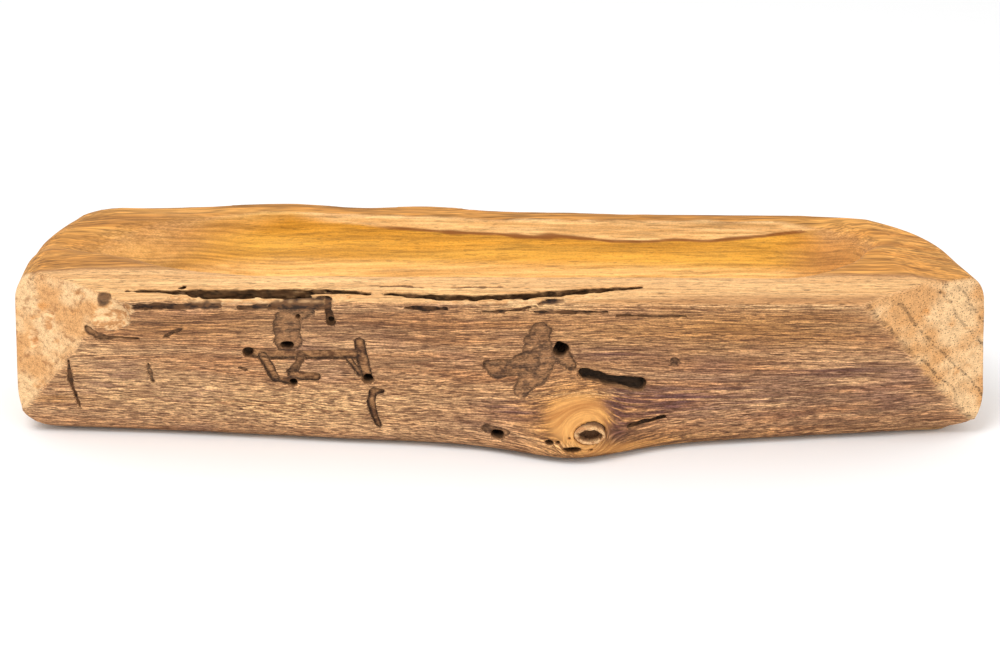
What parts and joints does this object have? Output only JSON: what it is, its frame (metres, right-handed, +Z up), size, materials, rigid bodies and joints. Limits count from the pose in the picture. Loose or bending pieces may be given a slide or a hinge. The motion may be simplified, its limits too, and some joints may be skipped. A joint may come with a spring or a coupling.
{
  "type": "incense burner",
  "caption": "Incense burner carved from a natural log: long ash hollow on top, flat sawn base, beetle-marked front face and a small brass stick socket.",
  "frame": {"origin": "on the flat base, under the middle of the block's box", "axes": "+X along the log, +Z up through the hollow's mouth, -Y out of the natural front face"},
  "size_m": [0.2876, 0.0815, 0.053],
  "materials": {
    "log_wood": "oiled where carved, bare and weathered on the log's own surface",
    "brass": "turned, lightly tarnished",
    "knot_wood": "bare, dry"
  },
  "bodies": {
    "root": {"carved_body": "log_wood", "stick_socket": "brass", "knot_core": "knot_wood"}
  },
  "joints": []
}
